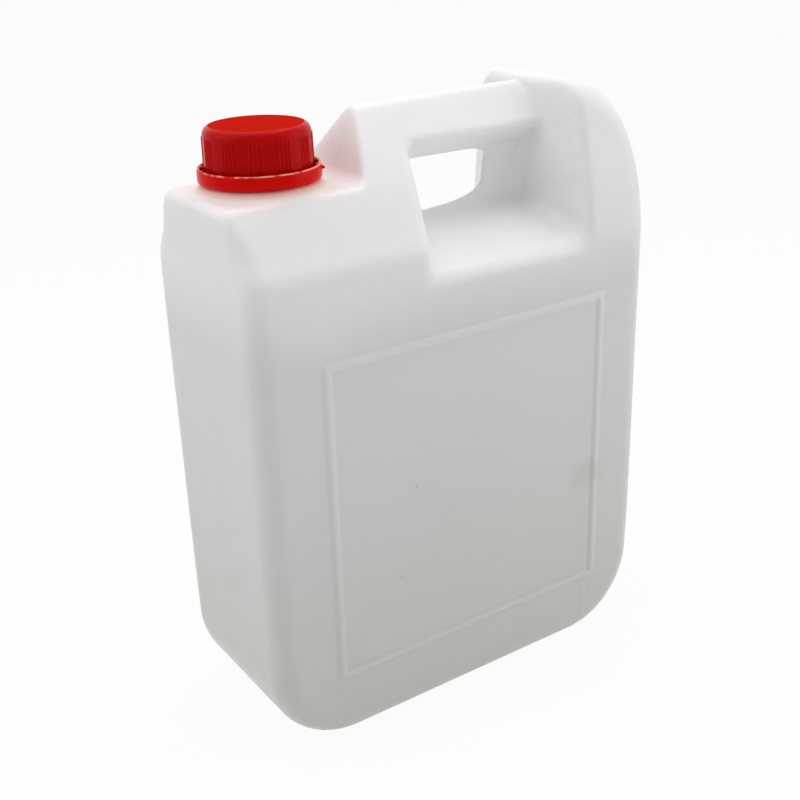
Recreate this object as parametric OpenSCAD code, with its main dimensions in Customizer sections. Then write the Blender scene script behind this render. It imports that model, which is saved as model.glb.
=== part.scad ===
// Five-litre blow-moulded jerrycan with a built-in handle, a screw cap and a tamper ring.
// Millimetres, +Z up. The origin is the middle of the footprint on the standing surface.
// The neck is towards -X, the label frame is on the -Y face.

/* [Body] */
// Width of the body
body_w = 230; // [215:1:260]
// Depth of the body
body_d = 97; // [92:1:110]
// Thickness of the blown wall
wall = 1.2; // [1.0:0.1:1.8]
// Radius of the four upright corners
corner_r = 11; // [9:0.5:14]
// Radius of the bottom at the two narrow ends
foot_end_r = 44; // [30:1:48]
// Radius of the bottom along the two broad faces
foot_side_r = 12.5; // [10:0.5:20]
// Height of the shallow panel pressed into the base
base_recess_h = 2; // [1:0.25:3]
// Width of the flat land around the base panel
base_land = 7; // [5:0.5:10]

/* [Shoulder and deck] */
// Height of the crease between a broad face and its bevel
shoulder_z = 242.5; // [232:0.5:250]
// Height of the deck above the crease
deck_rise = 29.5; // [25:0.5:34]
// Depth of the deck between its two bevels
deck_d = 60; // [58:1:66]
// Radius of the deck's edge over the narrow end
deck_edge_r = 6; // [3:0.5:9]

/* [Handle] */
// Rise of the bar's ridge above the deck, at the neck end
bar_rise = 30.5; // [28:0.5:34]
// Further rise of the ridge towards the column
bar_climb = 2.5; // [1:0.5:5]
// Width of the flat along the ridge at its high end
ridge_w = 2.4; // [1.6:0.2:5]
// Distance from the neck's axis to the foot of the sloping leg
leg_from_neck = 36.5; // [34:0.5:40]
// Run of the leg's slope from its foot to the ridge
leg_run = 12; // [8:0.5:16]

/* [Hand hole] */
// Place of the hole's neck-side edge along X
hole_left = -11.5; // [-16:0.5:-8]
// Length of the hole along its top edge
hole_top_l = 57.5; // [52:0.5:60]
// Length of the hole along its bottom edge
hole_bottom_l = 53; // [48:0.5:58]
// Height of the hole's top edge above the deck
hole_top_rise = 1.5; // [0:0.5:3]
// Height of the hole at the mould's parting plane
hole_h = 27.5; // [24:0.5:30]
// Radius of the hole's far bottom corner
hole_corner_r = 9; // [6:0.5:11]
// Length of the pinched web beside the hole
web_l = 20; // [14:1:24]
// Half thickness of the web at its thick edge
web_half = 4.5; // [3:0.5:6]
// Fall of the finger pocket's floor for each millimetre outwards
floor_fall = 0.43; // [0.3:0.01:0.5]
// Rise of the bar's underside for each millimetre outwards
bar_under_rise = 0.66; // [0.5:0.01:0.8]
// Spread of the pocket's leg side for each millimetre outwards
leg_draft = 0.27; // [0.2:0.01:0.32]
// Spread of the pocket's column side for each millimetre outwards
column_draft = 0.2; // [0.1:0.01:0.25]
// Rounding of the pocket's corners
pocket_r = 8; // [5:0.5:9]

/* [Column] */
// Radius of the column's curved broad sides
column_side_r = 98; // [90:1:108]
// Height at which the column starts to curve inwards
column_curve_z = 221.5; // [212:0.5:228]
// Height of the column's crest
column_top_z = 306.8; // [305.5:0.1:308.5]
// Radius of the column's top seen from the front
column_top_r = 90; // [80:1:100]
// Rounding where the column's top runs down into the end wall
column_brow_r = 12; // [6:1:18]
// Distance from the column's crest to the end of the body
crest_to_end = 43; // [38:1:48]

/* [Label frame] */
// Width of the frame, measured between its bead's centrelines
frame_w = 162.5; // [150:0.5:168]
// Height of the frame, measured between its bead's centrelines
frame_h = 161.5; // [140:0.5:170]
// Height of the bottom bead's centreline above the ground
frame_z = 38.5; // [34:0.5:44]
// Shift of the frame's middle towards the handle's column
frame_shift = 1.2; // [0:0.1:3]
// Width of the raised bead
bead_w = 5; // [4:0.25:7]
// Height of the raised bead
bead_h = 0.8; // [0.5:0.1:1.2]

/* [Neck] */
// Distance from the narrow end to the neck's axis
neck_from_end = 34.7; // [33:0.1:40]
// Outer diameter of the neck tube
neck_od = 40; // [38.5:0.5:41]
// Bore of the neck tube
neck_bore = 35; // [33:0.5:36]
// Height of the neck's lip above the deck
neck_h = 24.4; // [24:0.1:27]
// Diameter of the shoulder that the tamper ring stands on
shoulder_od = 46; // [45:0.5:48]
// Height of that shoulder above the deck
shoulder_h = 4; // [3:0.25:4.5]
// Diameter of the bead that keeps the tamper ring down
catch_od = 44.2; // [43.8:0.1:44.4]
// Height of that bead
catch_h = 1.5; // [1.2:0.1:1.8]

/* [Thread] */
// Lift of the cap in one turn
thread_pitch = 4; // [3.5:0.1:4.5]
// Radial height of both thread ridges
thread_h = 1.4; // [1.1:0.1:1.6]
// Width of a ridge at its root
thread_root_w = 1.9; // [1.4:0.1:2.1]
// Turns of thread on the neck
neck_turns = 1.5; // [1:0.25:1.75]
// Turns of thread inside the cap
cap_turns = 1.25; // [0.75:0.25:1.5]
// Free play between the two threads, measured radially
thread_play = 0.5; // [0.4:0.05:0.7]

/* [Cap] */
// Thickness of the cap's skirt at its foot
skirt_t = 2.3; // [1.8:0.1:2.8]
// Thickness of the cap's top
cap_top_t = 2.2; // [1.8:0.1:2.8]
// Inward taper of the skirt from foot to top
skirt_taper = 0.3; // [0:0.05:0.6]
// Width and height of the chamfer around the top
cap_chamfer = 3.4; // [2:0.1:3.8]
// Number of rib groups around the skirt
rib_groups = 12; // [8:1:14]
// Ribs in one group
ribs_in_group = 4; // [2:1:5]
// Spacing of the ribs in a group
rib_pitch = 1.75; // [1.5:0.05:2]
// Width of one rib
rib_w = 0.8; // [0.6:0.05:1]
// Radial height of one rib
rib_h = 0.4; // [0.2:0.05:0.45]
// Thickness of the foam liner
liner_t = 1.5; // [0.8:0.1:2]

/* [Tamper ring] */
// Height of the ring
ring_h = 6.3; // [5.8:0.1:7]
// Thickness of the ring's wall and floor
ring_t = 1.5; // [1.2:0.1:1.8]
// Width of the open channel between the ring and the skirt
channel_w = 2; // [1.6:0.1:2.4]
// Number of snapped bridges around the channel
bridges = 16; // [8:1:24]
// Width of one bridge
bridge_w = 1.2; // [0.8:0.1:1.6]

/* [Clearances] */
// Gap between faces that rest on each other
seat_gap = 0.2; // [0.15:0.05:0.3]
// Gap between parts that turn past each other
turn_gap = 0.3; // [0.25:0.05:0.4]

/* [Hidden] */
$fn = 96;

// Overlap that joins two solids, or carries a cut past a face
bite = 0.5;
// Overshoot of a cut beyond everything it cuts
beyond = 20;
// Sides of the rounded corners inside a hull
hull_sides = 32;
// Facets in one turn of thread
facets_per_turn = 36;

// Heights of the body
deck_z = shoulder_z + deck_rise;
bar_low_z = deck_z + bar_rise;
bar_high_z = bar_low_z + bar_climb;
hole_top_z = deck_z + hole_top_rise;
hole_bottom_z = hole_top_z - hole_h;

// Places along X
body_end = body_w / 2;
neck_x = -body_end + neck_from_end;
leg_foot_x = neck_x + leg_from_neck;
leg_top_x = leg_foot_x + leg_run;
web_x = hole_left + hole_top_l + web_l;
column_x = web_x - web_half * column_draft;
crest_x = body_end - crest_to_end;

// Neck stack, from the deck upwards
neck_r = neck_od / 2;
catch_r = catch_od / 2;
ring_z = deck_z + shoulder_h + seat_gap;
ring_top_z = ring_z + ring_h;
hook_top_z = ring_z + 2 * ring_t;
catch_z = hook_top_z + turn_gap;
catch_top_z = catch_z + catch_h;
skirt_z = catch_top_z + turn_gap;
lip_z = deck_z + neck_h;
liner_z = lip_z + seat_gap;
ceiling_z = liner_z + liner_t + seat_gap;
cap_top_z = ceiling_z + cap_top_t;

// Radii around the neck's axis
thread_r = neck_r + thread_h;
cap_inner_r = thread_r + thread_play;
skirt_r = cap_inner_r + skirt_t;
skirt_top_r = skirt_r - skirt_taper;
ring_outer_r = skirt_r + channel_w + ring_t;
ring_wall_r = ring_outer_r - ring_t;
ring_floor_r = neck_r + turn_gap;
hook_r = catch_r - turn_gap / 2;

// Thread helices: height of the ridge's middle at the start, and the angle there in turns
neck_thread_top_z = lip_z - 2.5;
neck_thread_z = neck_thread_top_z - neck_turns * thread_pitch;
cap_thread_lag = 0.2;
cap_thread_z = neck_thread_z - thread_pitch / 2 - cap_thread_lag * thread_pitch;
// Height of the ridge's crest as a share of its root width
crest_share = 0.45;
// Share of a turn over which a ridge fades in and out
fade = 0.06;

// A rectangle with four rounded corners, centred
module round_rect(w, d, r) {
    square([w - 2 * r, d], center = true);
    square([w, d - 2 * r], center = true);
    for (sx = [-1, 1], sy = [-1, 1])
        translate([sx * (w / 2 - r), sy * (d / 2 - r)]) circle(r);
}

// An upright rectangle that stands on zero with its two bottom corners rounded
module footed(w, top, r) {
    translate([-w / 2, r]) square([w, top - r]);
    translate([-w / 2 + r, 0]) square([w - 2 * r, 2 * r]);
    for (side = [-1, 1]) translate([side * (w / 2 - r), r]) circle(r);
}

// Carries a Y-Z outline along X, or an X-Z outline along Y
module along_x(x0, x1) {
    translate([x0, 0, 0]) rotate([90, 0, 90]) linear_extrude(x1 - x0) children();
}
module along_y(y0, y1) {
    translate([0, y1, 0]) rotate([90, 0, 0]) linear_extrude(y1 - y0) children();
}

// Moves an outline inwards; the outer skin itself keeps its true arcs
module inset(by) {
    if (by == 0) children();
    else offset(delta = -by) children();
}

// Y-Z section through the bevels and the bar's sloping faces
module ridge_section() {
    half_d = body_d / 2;
    polygon([
        [-half_d, 0], [half_d, 0],
        [half_d, shoulder_z], [deck_d / 2, deck_z], [ridge_w / 2, bar_high_z],
        [-ridge_w / 2, bar_high_z], [-deck_d / 2, deck_z], [-half_d, shoulder_z]
    ]);
}

// One side of the column's arch, turned about its own axis along X with its end edge rounded
module arch_side(side, by) {
    r = column_side_r - by;
    end = body_end - by;
    edge = corner_r - by;
    translate([0, side * (column_side_r - body_d / 2), column_curve_z]) rotate([0, 90, 0])
        rotate_extrude($fn = 180) {
            square([r, end - edge]);
            square([r - edge, end]);
            translate([r - edge, end - edge]) circle(edge);
        }
}

// The column before its top is crowned: an upright block, then two arcs that meet over the middle
module column_form(by) {
    depth = body_d - 2 * by;
    translate([column_x + by, -depth / 2, 0]) cube([body_w, depth, column_curve_z]);
    intersection() {
        arch_side(-1, by);
        arch_side(1, by);
        translate([column_x + by, -body_d, column_curve_z - bite])
            cube([body_w, 2 * body_d, column_side_r]);
    }
}

// X-Z outline of the deck, the sloping leg and the bar's ridge
module ridge_outline() {
    r = deck_edge_r;
    polygon([
        [-body_end, 0], [column_x + beyond, 0],
        [column_x + beyond, bar_high_z], [leg_top_x, bar_low_z], [leg_foot_x, deck_z],
        [-body_end + r, deck_z], [-body_end, deck_z - r]
    ]);
    translate([-body_end + r, deck_z - r]) circle(r);
}

// X-Z outline of the column's crowned top
module column_outline() {
    offset(r = column_brow_r) offset(delta = -column_brow_r) intersection() {
        union() {
            translate([crest_x, column_top_z - column_top_r]) circle(column_top_r, $fn = 180);
            translate([crest_x - column_top_r, 0]) square([2 * column_top_r, column_top_z - column_top_r]);
        }
        translate([-body_end, -beyond]) square([body_w, column_top_z + 2 * beyond]);
    }
}

// The body with square holes and pockets still filled, its skin moved inwards
module filled_form(by) {
    intersection() {
        translate([0, 0, by]) linear_extrude(column_top_z)
            inset(by) round_rect(body_w, body_d, corner_r);
        along_y(-body_d, body_d) inset(by) footed(body_w, column_top_z + beyond, foot_end_r);
        along_x(-body_w, body_w) inset(by) footed(body_d, column_top_z + beyond, foot_side_r);
        union() {
            intersection() {
                along_x(-body_w, column_x + by + bite) inset(by) ridge_section();
                along_y(-body_d, body_d) inset(by) ridge_outline();
            }
            intersection() {
                column_form(by);
                along_y(-body_d, body_d) inset(by) column_outline();
                union() {
                    translate([column_x, -body_d, 0]) cube([body_w, 2 * body_d, deck_z]);
                    linear_extrude(column_top_z) column_wedge(by);
                }
            }
        }
    }
}

// X-Y wedge that gives the column its drafted faces towards the hand
module column_wedge(by) {
    far = body_d;
    translate([column_x + by, 0])
        polygon([[0, 0], [column_draft * far, far], [body_w, far],
                 [body_w, -far], [column_draft * far, -far]]);
}

// One rounded corner of the finger pocket's outline, lying along Y
module pocket_corner(x, y, z, r) {
    translate([x, y, z]) rotate([90, 0, 0]) cylinder(r = r, h = 0.1, center = true, $fn = hull_sides);
}

// One outline of the finger pocket at a distance out from the parting plane
module pocket_ring(out, left, right_top, right_bottom, r_left, r_right, grow, y) {
    top = hole_top_z + bar_under_rise * out + grow;
    bottom = hole_bottom_z - floor_fall * out - grow;
    for (corner = [[left - grow, top, 1, -1, r_left], [left - grow, bottom, 1, 1, r_left],
                   [right_top + grow, top, -1, -1, r_left], [right_bottom + grow, bottom, -1, 1, r_right]])
        pocket_corner(corner[0] + corner[2] * corner[4], y, corner[1] + corner[3] * corner[4], corner[4]);
}

// The finger pocket on the label side, from the parting plane out past the face
module finger_pocket(grow) {
    out = body_d / 2 + beyond;
    hole_r = 3;
    far_x = web_x + column_draft * (out - web_half);
    hull() {
        pocket_ring(0, hole_left, hole_left + hole_top_l, hole_left + hole_bottom_l,
                    hole_r, hole_corner_r, grow, bite + grow);
        pocket_ring(web_half, hole_left - leg_draft * web_half, web_x, web_x,
                    hole_r, pocket_r, grow, grow - web_half);
        pocket_ring(out, hole_left - leg_draft * out, far_x, far_x,
                    pocket_r, pocket_r, grow, -out);
    }
}

module both_pockets(grow) {
    finger_pocket(grow);
    mirror([0, 1, 0]) finger_pocket(grow);
}

// The shallow panel in the base
module base_panel(grow) {
    panel_w = body_w - 2 * foot_end_r - 2 * base_land;
    panel_d = body_d - 2 * foot_side_r - 2 * base_land;
    translate([0, 0, -bite]) linear_extrude(bite + base_recess_h + grow)
        round_rect(panel_w + 2 * grow, panel_d + 2 * grow, corner_r);
}

// Raised bead around the label area
module label_frame() {
    y = -body_d / 2 - bead_h;
    translate([frame_shift, 0, frame_z + frame_h / 2])
        along_y(y, y + bead_h + bite) difference() {
            square([frame_w + bead_w, frame_h + bead_w], center = true);
            square([frame_w - bead_w, frame_h - bead_w], center = true);
        }
}

// A helical ridge around Z: root radius, radial height (negative grows inwards), start and turns
module helix_ridge(root_r, height, z, start, turns) {
    steps = round(turns * facets_per_turn);
    inner = height > 0 ? -1 : 1;
    ridge = function (i)
        let (t = i / steps,
             full = min(1, min(t, 1 - t) * turns / fade + 0.1),
             a = 360 * (start + t * turns),
             zc = z + t * turns * thread_pitch,
             crest = root_r + height * full,
             hw = thread_root_w / 2,
             foot = root_r + inner * bite)
        [for (p = [[foot, -hw], [crest, -hw * crest_share], [crest, hw * crest_share], [foot, hw]])
            [p[0] * cos(a), p[0] * sin(a), zc + p[1]]];
    points = [for (i = [0:steps]) each ridge(i)];
    sides = [for (i = [0:steps - 1], k = [0:3])
        let (a = 4 * i + k, b = 4 * i + (k + 1) % 4, c = b + 4, d = a + 4)
        each height > 0 ? [[a, b, c], [a, c, d]] : [[c, b, a], [d, c, a]]];
    first = height > 0 ? [3, 2, 1, 0] : [0, 1, 2, 3];
    last = [for (k = first) 4 * steps + 3 - k];
    polyhedron(points, concat(sides, [first], [last]));
}

// The neck's tube with the ring's shoulder, the catch bead and the thread
module neck() {
    translate([neck_x, 0, 0]) {
        translate([0, 0, deck_z - wall]) cylinder(r = neck_r, h = lip_z - deck_z + wall);
        translate([0, 0, deck_z - wall]) cylinder(d = shoulder_od, h = wall + shoulder_h);
        translate([0, 0, catch_z]) cylinder(r1 = catch_r, r2 = neck_r, h = catch_h);
        helix_ridge(neck_r, thread_h, neck_thread_z, 0, neck_turns);
    }
}

module can_body() {
    color([0.93, 0.94, 0.93]) difference() {
        union() {
            difference() {
                filled_form(0);
                both_pockets(0);
            }
            label_frame();
            neck();
        }
        difference() {
            filled_form(wall);
            both_pockets(wall);
            base_panel(wall);
        }
        base_panel(0);
        translate([neck_x, 0, deck_z - beyond]) cylinder(d = neck_bore, h = beyond + neck_h + bite);
    }
}

// The band left on the neck when the cap is first opened, with its snapped bridges
module tamper_ring() {
    bridge_tip_r = skirt_r + turn_gap;
    bridge_h = ring_t;
    color([0.8, 0.03, 0.02]) translate([neck_x, 0, 0]) {
        translate([0, 0, ring_z]) rotate_extrude() {
            translate([ring_floor_r, 0]) square([ring_outer_r - ring_floor_r, ring_t]);
            translate([ring_floor_r, 0]) square([hook_r - ring_floor_r, 2 * ring_t]);
            translate([ring_wall_r, 0]) square([ring_t, ring_h]);
        }
        for (i = [0:bridges - 1]) rotate([0, 0, 360 * (i + 0.5) / bridges])
            translate([bridge_tip_r, -bridge_w / 2, ring_top_z - bridge_h])
                cube([ring_wall_r - bridge_tip_r + bite, bridge_w, bridge_h]);
    }
}

// The foam wad inside the cap that seals on the neck's lip
module cap_liner() {
    color([0.95, 0.95, 0.92]) translate([neck_x, 0, liner_z])
        cylinder(r = cap_inner_r - turn_gap, h = liner_t);
}

// One upright grip rib on the skirt
module grip_rib() {
    foot_z = ring_top_z + turn_gap;
    top_z = cap_top_z - cap_chamfer - rib_h;
    translate([skirt_top_r - bite, -rib_w / 2, foot_z])
        cube([bite + rib_h, rib_w, top_z - foot_z]);
}

module screw_cap() {
    chamfer_z = cap_top_z - cap_chamfer;
    rib_angle = rib_pitch / skirt_r * 180 / PI;
    color([0.8, 0.03, 0.02]) translate([neck_x, 0, 0]) {
        difference() {
            union() {
                translate([0, 0, skirt_z])
                    cylinder(r1 = skirt_r, r2 = skirt_top_r, h = chamfer_z - skirt_z);
                translate([0, 0, chamfer_z])
                    cylinder(r1 = skirt_top_r, r2 = skirt_top_r - cap_chamfer, h = cap_chamfer);
                for (g = [0:rib_groups - 1], i = [0:ribs_in_group - 1])
                    rotate([0, 0, 360 * g / rib_groups + rib_angle * (i - (ribs_in_group - 1) / 2)])
                        grip_rib();
            }
            translate([0, 0, skirt_z - bite]) cylinder(r = cap_inner_r, h = ceiling_z - skirt_z + bite);
        }
        helix_ridge(cap_inner_r, -thread_h, cap_thread_z, -cap_thread_lag, cap_turns);
    }
}

can_body();
tamper_ring();
cap_liner();
screw_cap();
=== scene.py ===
"""Dresses a blow-moulded jerrycan with a red screw cap, piece by piece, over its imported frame."""

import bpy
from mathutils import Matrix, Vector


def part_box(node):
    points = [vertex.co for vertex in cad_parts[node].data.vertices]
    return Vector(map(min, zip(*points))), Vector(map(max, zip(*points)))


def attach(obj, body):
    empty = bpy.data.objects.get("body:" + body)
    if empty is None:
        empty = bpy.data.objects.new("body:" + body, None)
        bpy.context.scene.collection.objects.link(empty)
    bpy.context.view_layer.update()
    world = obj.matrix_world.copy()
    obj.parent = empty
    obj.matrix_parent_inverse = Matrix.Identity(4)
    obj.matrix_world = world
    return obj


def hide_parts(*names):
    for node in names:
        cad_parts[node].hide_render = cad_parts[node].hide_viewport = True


bl_info = {
    "name": "Jerrycan Builder",
    "version": (1, 0, 0),
    "blender": (4, 5, 0),
    "location": "View3D > Sidebar > Jerrycan",
    "description": "Builds a milky five litre jerrycan with its screw cap and tamper ring",
    "category": "Object",
}

import math

import bmesh
import bpy
import numpy as np
from bpy.props import FloatProperty, FloatVectorProperty, IntProperty, PointerProperty
from mathutils import Matrix, Vector

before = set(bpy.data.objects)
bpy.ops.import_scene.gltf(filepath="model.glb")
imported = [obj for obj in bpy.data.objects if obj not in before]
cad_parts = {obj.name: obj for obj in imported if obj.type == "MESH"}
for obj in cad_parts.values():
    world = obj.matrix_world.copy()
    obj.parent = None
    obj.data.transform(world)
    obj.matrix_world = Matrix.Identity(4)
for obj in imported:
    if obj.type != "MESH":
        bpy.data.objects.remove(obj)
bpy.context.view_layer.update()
CAN_LOW, CAN_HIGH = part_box("can_body")
RING_LOW, RING_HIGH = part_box("tamper_ring")
CAP_LOW, CAP_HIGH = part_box("screw_cap")
LINER_LOW, LINER_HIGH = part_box("cap_liner")

MM = 0.001
NECK_X = (RING_LOW.x + RING_HIGH.x) / 2
RING_Z = RING_LOW.z
CAP_TOP_Z = CAP_HIGH.z
SKIRT_Z = CAP_LOW.z

# Heights and sizes of the neck and its thread, in millimetres
DECK_Z = 272.0
NECK_R = 20.0
BORE_R = 17.5
THREAD_PITCH, THREAD_WIDTH, THREAD_HEIGHT = 4.0, 1.9, 1.4
CAP_BORE_R = 21.9

# Distances that stand for "well inside the plastic" where a form doesn't apply
INSIDE, FAR_INSIDE = -40.0, -60.0

# Colours of the painted red reflection in the plastic round the neck, of grain, dirt, the painted
# highlight on the ring's rim and foam
RED_REFLECTION_PAINT_WIDE, RED_REFLECTION_PAINT_CLOSE = (0.95, 0.42, 0.34), (1.0, 0.24, 0.10)
GRAIN, DIRT = (0.70, 0.70, 0.67), (0.42, 0.39, 0.34)
RIM_HIGHLIGHT_PAINT, FOAM_CELL = (0.98, 0.42, 0.33), (0.55, 0.54, 0.48)

# Handling marks on the front: x and z of the middle, half width, half height and strength
MARKS = (
    (0.0780, 0.1010, 0.0150, 0.0100, 0.20),
    (-0.0339, 0.1277, 0.0011, 0.0009, 0.55),
    (-0.0437, 0.0811, 0.0011, 0.0014, 0.40),
    (-0.1119, 0.2271, 0.0010, 0.0016, 0.40),
)


# Small helpers for distances in millimetres: negative is inside the plastic

def ramp(t, start, end):
    """0 before start, 1 after end and a smooth rise between them."""
    s = np.clip((t - start) / (end - start), 0.0, 1.0)
    return s * s * (3.0 - 2.0 * s)


def soft_max(a, b, width):
    """The larger of two distances, its crease softened over a width."""
    h = np.maximum(width - np.abs(a - b), 0.0) / width
    return np.maximum(a, b) + h * h * width * 0.25


def soft_min(a, b, width):
    """The smaller of two distances, its crease softened over a width."""
    return -soft_max(-a, -b, width)


def round_max(a, b, radius):
    """Where two square faces meet, with the edge between them turned to a true radius."""
    u, v = np.maximum(a + radius, 0.0), np.maximum(b + radius, 0.0)
    return np.minimum(np.maximum(a, b), -radius) + np.hypot(u, v)


def slab(x, z, x0, z0, nx, nz):
    """Distance past a plane through a point, along a normal of any length."""
    return ((x - x0) * nx + (z - z0) * nz) / math.hypot(nx, nz)


# The blown body as one distance function

def finger_pocket(x, out, z, s):
    """The pocket that opens through the body as the hand hole, seen from either face."""
    out = out - s.parting_soft
    edge = s.hole_left + s.hole_width - s.hole_slant * (s.hole_top - z) / s.hole_height
    floor = (s.hole_top - s.hole_height - s.floor_fall * out) - z
    floor = floor / math.hypot(1.0, s.floor_fall)
    top = (z - s.hole_top - s.bar_rise * out) / math.hypot(1.0, s.bar_rise)
    left = (s.hole_left - s.leg_draft * out - x) / math.hypot(1.0, s.leg_draft)
    web = (x - edge) * s.web_out - out * (s.web_x - edge)
    web = web / np.hypot(s.web_out, s.web_x - edge)
    wall = x - s.web_x - s.column_draft * (out - s.web_out)
    wall = wall / math.hypot(1.0, s.column_draft)
    corner = 3.0 + 7.0 * ramp(out, 2.0, 22.0)
    right = soft_max(web, wall, 3.0)
    low = soft_max(floor, right, 11.0)
    high = soft_max(top, left, corner)
    return soft_max(soft_max(low, high, 3.0), soft_max(floor, left, corner), corner)


def can_form(p, s, bead=True):
    """Distance to the outer skin of the can at points p."""
    x, y, z = p[:, 0], p[:, 1], p[:, 2]
    out = np.sqrt(y * y + s.parting_soft ** 2)
    half_w, half_d = s.width / 2, s.depth / 2

    face = out - half_d
    if bead:
        across = np.abs(x - s.frame_x) - s.frame_w / 2
        up = np.abs(z - s.frame_z) - s.frame_h / 2
        off = np.abs(np.maximum(across, up)) / (s.bead_w / 2)
        crest = np.where(off < 1.0, (1.0 - off * off) ** 2 * (1.0 + 2.0 * off * off), 0.0)
        face = face - s.bead_h * crest * (y < 0.0)
    sink = s.panel_sink * ramp(92.0 - np.abs(x), 0.0, 55.0) * ramp(z, 30.0, 90.0)
    face = face + sink * ramp(225.0 - z, 0.0, 60.0)

    # The neck side: bevels, deck, sloping leg and the bar's ridge
    bevel = slab(out, z, half_d, s.shoulder_z, s.deck_z - s.shoulder_z, half_d - s.deck_half)
    bar = slab(out, z, s.deck_half, s.deck_z, s.bar_z - s.deck_z, s.deck_half - 1.2)
    section = soft_max(soft_max(face, bevel, s.crease), bar, 1.5)
    deck = z - s.deck_z
    leg = slab(x, z, s.leg_x, s.deck_z, -(s.bar_z - 2.5 - s.deck_z), s.leg_run)
    ridge = z - s.bar_z + 2.5 * (80.0 - x) / 112.0
    outline = soft_min(deck, soft_max(leg, ridge, 2.2), 5.0)
    neck_side = soft_max(section, outline, 2.6)
    neck_side = soft_max(neck_side, x - s.web_x - s.bar_reach, 2.0)

    # The column: two faces that lean together under a rounded top and end
    lean = slab(out, z, half_d, s.shoulder_z, s.column_rise, s.column_lean)
    sides = soft_max(face, lean, 3.0)
    along = np.maximum(x - s.crest_x, 0.0) / (half_w - s.crest_x)
    up = np.maximum(z - s.crown_z, 0.0) / (s.crest_z - s.crown_z)
    reach = (along ** s.crown_power + up ** s.crown_power) ** (1 / s.crown_power)
    from_foot = np.hypot(np.maximum(x - s.crest_x, 0.0), np.maximum(z - s.crown_z, 0.0))
    near = 0.05
    crown = np.where(reach > near, (1.0 - 1.0 / np.maximum(reach, near)) * from_foot, INSIDE)
    crown = np.where(z > s.crown_from_z, crown, FAR_INSIDE)
    column = round_max(sides, crown, s.corner_r + s.column_round * ramp(z, 225.0, 262.0))

    # The column ends at the wall beside the bar. Lower down the pocket cuts it instead
    hand = (s.web_x - 0.9 + s.column_draft * out - x) / math.hypot(1.0, s.column_draft)
    under = z - s.hole_top - s.bar_rise * out + 8.0 * ramp(out, 9.0, 15.0)
    hand = hand - s.hand_relief * (1.0 - ramp(under, -8.0, -1.0))
    pocket = finger_pocket(x, out, z, s)
    column = soft_max(column, -np.minimum(pocket, -hand), s.pocket_edge)
    neck_side = soft_max(neck_side, -pocket, s.pocket_edge)

    # The bar flares where it runs into the column
    join = ramp(z, 254.0, 264.0) * (1.0 - ramp(z, 296.0, 304.0)) * ramp(x, 50.0, 60.0)
    body = soft_min(neck_side, column, 0.4 + s.flare * join)

    # Ends, feet and the upright corners
    foot_x = np.maximum(np.abs(x) - half_w + s.foot_end, 0.0)
    foot_z = np.maximum(s.foot_end - z, 0.0)
    flat = np.minimum(np.maximum(np.abs(x) - half_w, -z), -s.foot_end)
    ends = np.where((foot_x > 0) | (foot_z > 0),
                    np.hypot(foot_x, foot_z) - s.foot_end, flat)
    ends = np.where((x > 0.0) & (z > s.crown_from_z), FAR_INSIDE, ends)
    low = ramp(70.0 - z, 0.0, 60.0)
    radius = s.corner_r + (s.foot_side - s.corner_r) * low
    radius = radius - s.deck_round * ramp(z, 250.0, 268.0) * ramp(-x, 60.0, 100.0)
    skin = round_max(body, ends, radius)

    # The shallow panel in the base
    pan_x = np.abs(x) - half_w + s.foot_end + s.pan_margin
    pan_y = out - half_d + s.foot_side + s.pan_margin
    pan = round_max(pan_x, pan_y, s.corner_r)
    skin = soft_max(skin, -np.maximum(pan, z - s.pan_depth), 1.5)

    # Slight waves that blow-moulded walls have as they cool
    wave = np.sin(x * 0.061 + 1.3) * np.sin(z * 0.047 + 0.4) + np.sin(x * 0.023 - z * 0.031)
    return skin + s.waviness * wave * ramp(150.0 - np.abs(z - 140.0), 0.0, 40.0)


def around_neck(p, s):
    """Distance from the neck's axis."""
    return np.hypot(p[:, 0] - s.neck_x, p[:, 1])


def outer_skin(p, s):
    """The can with the raised seat of its neck and the bore let down through it."""
    away = around_neck(p, s)
    seat = soft_max(away - s.seat_r, p[:, 2] - s.deck_z - s.seat_h, 2.0)
    skin = soft_min(can_form(p, s), np.maximum(seat, s.deck_z - 8.0 - p[:, 2]), 6.0)
    bore = np.maximum(away - 18.7, s.deck_z - 12.0 - p[:, 2])
    return np.maximum(skin, -bore)


def inner_skin(p, s):
    """The inside of the can, one wall in from the plain outer form."""
    return can_form(p, s, bead=False) + s.wall


# A smooth skin drawn over a distance function

def grid_lines(low, high, step, fine=()):
    """Grid coordinates from low to high, closer together inside each fine stretch."""
    marks, at = [low], low
    while at < high:
        here = step
        for start, end, close in fine:
            if start <= at < end:
                here = close
        at += here
        marks.append(at)
    return np.array(marks)


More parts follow.
